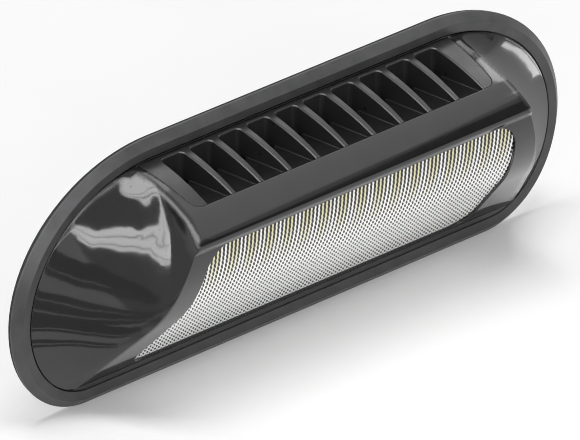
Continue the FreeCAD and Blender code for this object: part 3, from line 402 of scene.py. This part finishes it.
def make_world():
    world = bpy.data.worlds.new("studio")
    world.use_nodes = True
    nodes, links = world.node_tree.nodes, world.node_tree.links
    nodes["Background"].inputs["Color"].default_value = (1.0, 1.0, 1.0, 1.0)
    path = nodes.new("ShaderNodeLightPath")
    level = nodes.new("ShaderNodeMapRange")
    level.inputs["To Min"].default_value = WORLD_LEVEL
    level.inputs["To Max"].default_value = WORLD_LEVEL_IN_GLOSS
    links.new(path.outputs["Is Glossy Ray"], level.inputs["Value"])
    links.new(level.outputs["Result"], nodes["Background"].inputs["Strength"])
    bpy.context.scene.world = world


def towards(azimuth, elevation, distance):
    """A place at a distance, in degrees round the lamp from its front and above level."""
    a, e = math.radians(azimuth), math.radians(elevation)
    return distance * Vector((math.sin(a) * math.cos(e), -math.cos(a) * math.cos(e), math.sin(e)))


def softbox(name, first, last, width, radiance):
    """A flat light between two places that faces the lamp and stays out of its gloss."""
    across = last - first
    place = (first + last) * 0.5
    facing = place.normalized()
    along = (across - facing * across.dot(facing)).normalized()
    data = bpy.data.lights.new(name, "AREA")
    data.shape = "RECTANGLE"
    data.size = across.length
    data.size_y = width
    data.energy = radiance * math.pi * data.size * data.size_y
    turn = Matrix((along, facing.cross(along), facing)).transposed().to_4x4()
    lamp = bpy.data.objects.new(name, data)
    lamp.matrix_world = Matrix.Translation(place) @ turn
    lamp.visible_glossy = False
    bpy.context.scene.collection.objects.link(lamp)


# Reflectors, seen in the gloss alone. The edges are azimuths and elevations in degrees,
# seen from the centre, and a stripe is the share of the width where it starts and ends.
LEFT_END = (-0.095, -0.020, 0.005)
LEFT_FOOT = (-0.108, -0.014, -0.001)
NOSE = (0.0, -0.030, 0.030)
MIDDLE = (0.0, 0.0, 0.0)
RIGHT_SHOULDER = (0.100, -0.028, 0.033)
RIGHT_END = (0.112, -0.018, 0.025)
UNBROKEN = [(0.0, 1.0)]
REFLECTORS = {
    "high_band": {
        "lower": [(14, 46), (-20, 46), (-46, 43), (-80, 33), (-100, 25), (-112, 16), (-119, 7)],
        "upper": [(20, 58), (-15, 64), (-48, 70), (-90, 66), (-116, 52), (-126, 32), (-132, 14)],
        "stripes": [(0.0, 0.1), (0.14, 0.3), (0.33, 1.0)],
        "radiance": 7.0, "centre": LEFT_END, "distance": 1.5},
    "low_band": {
        "lower": [(12, -1), (5, 0), (-5, 3), (-14, 8), (-35, 14),
                  (-58, 18), (-84, 16.5), (-104, 10), (-116, 6)],
        "upper": [(16, 1), (9, 3), (-1, 8), (-12, 15), (-27, 22),
                  (-52, 27), (-85, 23.5), (-105, 15), (-120, 8)],
        "stripes": [(0.0, 0.2), (0.25, 0.6), (0.65, 1.0)],
        "radiance": 7.5, "centre": LEFT_END, "distance": 1.5},
    "left_flag": {
        "lower": [(12, -13), (0, -11.5), (-10, -9.5), (-25, -5), (-50, 0), (-80, 4), (-105, 3)],
        "upper": [(16, -4), (5, -2.5), (-5, 0), (-15, 4), (-50, 10), (-80, 10), (-108, 5)],
        "stripes": [(0.0, 0.25), (0.3, 1.0)],
        "radiance": 0.3, "centre": LEFT_END, "distance": 0.18},
    "lower_flag": {
        "lower": [(10, -34), (-10, -33), (-30, -29), (-52, -20), (-78, -11), (-104, -3)],
        "upper": [(10, -19), (-9, -16), (-24, -13), (-48, -7), (-75, -2), (-104, 1)],
        "stripes": [(0.0, 0.3), (0.36, 0.7), (0.75, 1.0)],
        "radiance": 0.3, "centre": LEFT_END, "distance": 0.07},
    "foot_flag": {
        "lower": [(20, -37), (0, -37), (-25, -36), (-47, -31), (-68, -22), (-90, -12)],
        "upper": [(20, -26), (0, -25), (-21, -22), (-40, -17), (-60, -12), (-83, -5)],
        "stripes": [(0.0, 0.2), (0.27, 1.0)],
        "radiance": 0.3, "centre": LEFT_FOOT, "distance": 0.036},
    "foot_streak": {
        "lower": [(20, -52), (0, -52), (-29, -50), (-56, -42)],
        "upper": [(20, -44), (0, -44), (-29, -43), (-53, -36)],
        "stripes": [(0.0, 0.35), (0.5, 1.0)],
        "radiance": 0.3, "centre": LEFT_FOOT, "distance": 0.036},
    "nose_card": {
        "lower": [(36, 37), (50, 38), (60, 42), (75, 46), (120, 46)],
        "upper": [(36, 60), (50, 60), (60, 60), (75, 60), (120, 60)],
        "stripes": UNBROKEN,
        "radiance": 1.2, "centre": NOSE, "distance": 1.5},
    "brow_card": {
        "lower": [(14, 2), (38, 1), (70, 3)],
        "upper": [(20, 33), (44, 35), (66, 41)],
        "stripes": UNBROKEN,
        "radiance": 0.08, "centre": NOSE, "distance": 1.4},
    "rear_card": {
        "lower": [(118, 30), (150, 30), (180, 30), (215, 30)],
        "upper": [(118, 62), (150, 62), (180, 62), (215, 62)],
        "stripes": UNBROKEN,
        "radiance": 2.4, "centre": MIDDLE, "distance": 1.5},
    "right_shoulder": {
        "lower": [(56, 45), (80, 46), (105, 46), (130, 40)],
        "upper": [(56, 54), (80, 58), (105, 60), (130, 60)],
        "stripes": UNBROKEN,
        "radiance": 5.0, "centre": RIGHT_SHOULDER, "distance": 0.17},
    "right_streaks": {
        "lower": [(60, -1), (63, -9), (66, -16), (69, -21), (71, -27)],
        "upper": [(70, 0), (69.5, -8), (71, -13), (73, -18), (76, -23)],
        "stripes": [(0.0, 0.3), (0.45, 0.8)],
        "radiance": 6.0, "centre": RIGHT_END, "distance": 0.12},
}
STEPS_A_STRETCH = 8


def smooth_path(points):
    """Vectors on a smooth curve through the given points."""
    ends = [Vector(point) for point in (points[0], *points, points[-1])]
    path = []
    for before, first, last, after in zip(ends, ends[1:], ends[2:], ends[3:]):
        for step in range(STEPS_A_STRETCH):
            t = step / STEPS_A_STRETCH
            bend = (2 * before - 5 * first + 4 * last - after) * t
            bend += (3 * first - before - 3 * last + after) * t * t
            path.append(first + 0.5 * t * ((last - before) + bend))
    return path + [ends[-1]]


def glow_in_gloss(name, radiance):
    """A finish that glows where a glossy ray meets it and lights nothing else."""
    material = bpy.data.materials.new(name)
    material.use_nodes = True
    nodes, links = material.node_tree.nodes, material.node_tree.links
    nodes.clear()
    path = nodes.new("ShaderNodeLightPath")
    level = nodes.new("ShaderNodeMath")
    level.operation = "MULTIPLY"
    level.inputs[1].default_value = radiance
    glow = nodes.new("ShaderNodeEmission")
    output = nodes.new("ShaderNodeOutputMaterial")
    links.new(path.outputs["Is Glossy Ray"], level.inputs[0])
    links.new(level.outputs[0], glow.inputs["Strength"])
    links.new(glow.outputs[0], output.inputs["Surface"])
    material.cycles.emission_sampling = "NONE"
    return material


def reflector(name, lower, upper, stripes, radiance, centre, distance):
    """A ribbon on a sphere round the centre, cut lengthwise into stripes."""
    corners, faces = [], []
    for shares in stripes:
        start = len(corners)
        for low, high in zip(smooth_path(lower), smooth_path(upper)):
            for share in shares:
                azimuth, elevation = low.lerp(high, share)
                corners.append(Vector(centre) + towards(azimuth, elevation, distance))
        faces += [(k, k + 1, k + 3, k + 2) for k in range(start, len(corners) - 2, 2)]
    made = add_mesh(name, corners, faces, glow_in_gloss(name, radiance))
    made.visible_camera = False
    made.visible_diffuse = False
    made.visible_transmission = False
    made.visible_shadow = False


def make_studio():
    make_floor()
    make_world()
    softbox("key_above", towards(-60, 73, 2.6), towards(120, 87, 2.6), width=1.5, radiance=8.5)
    softbox("front_fill", towards(-55, 20, 1.6), towards(0, 20, 1.6), width=0.5, radiance=1.8)
    for name, settings in REFLECTORS.items():
        reflector(name, **settings)


# Camera, fitted to the photograph

CAMERA_AZIMUTH = -42.59
CAMERA_ELEVATION = 28.13
CAMERA_ROLL = math.radians(-0.59)
CAMERA_DISTANCE = 4066.0 * MM
CAMERA_TARGET = Vector((2.0, 0.0, -2.75)) * MM
FOCAL_LENGTH_IN_PIXELS = 12000.0
PHOTO_WIDTH_IN_PIXELS = 580.0
SENSOR_WIDTH = 36.0
FAR_LIMIT = 50.0
# Narrow, so that the lens's fine grid stays as crisp as in the photograph
PIXEL_FILTER_WIDTH = 1.0


def make_camera():
    away = towards(CAMERA_AZIMUTH, CAMERA_ELEVATION, 1.0)
    level = (-away).cross(Vector((0, 0, 1))).normalized()
    down = (-away).cross(level)
    right = math.cos(CAMERA_ROLL) * level + math.sin(CAMERA_ROLL) * down
    below = -math.sin(CAMERA_ROLL) * level + math.cos(CAMERA_ROLL) * down
    turn = Matrix((right, -below, away)).transposed().to_4x4()
    data = bpy.data.cameras.new("photo_view")
    data.sensor_width = SENSOR_WIDTH
    data.lens = SENSOR_WIDTH * FOCAL_LENGTH_IN_PIXELS / PHOTO_WIDTH_IN_PIXELS
    data.clip_end = FAR_LIMIT
    camera = bpy.data.objects.new("photo_view", data)
    camera.matrix_world = Matrix.Translation(CAMERA_TARGET + away * CAMERA_DISTANCE) @ turn
    bpy.context.scene.collection.objects.link(camera)
    bpy.context.scene.camera = camera
    bpy.context.scene.cycles.filter_width = PIXEL_FILTER_WIDTH


dress_nodes()
make_studio()
make_camera()

bpy.context.scene.view_settings.view_transform = "Standard"
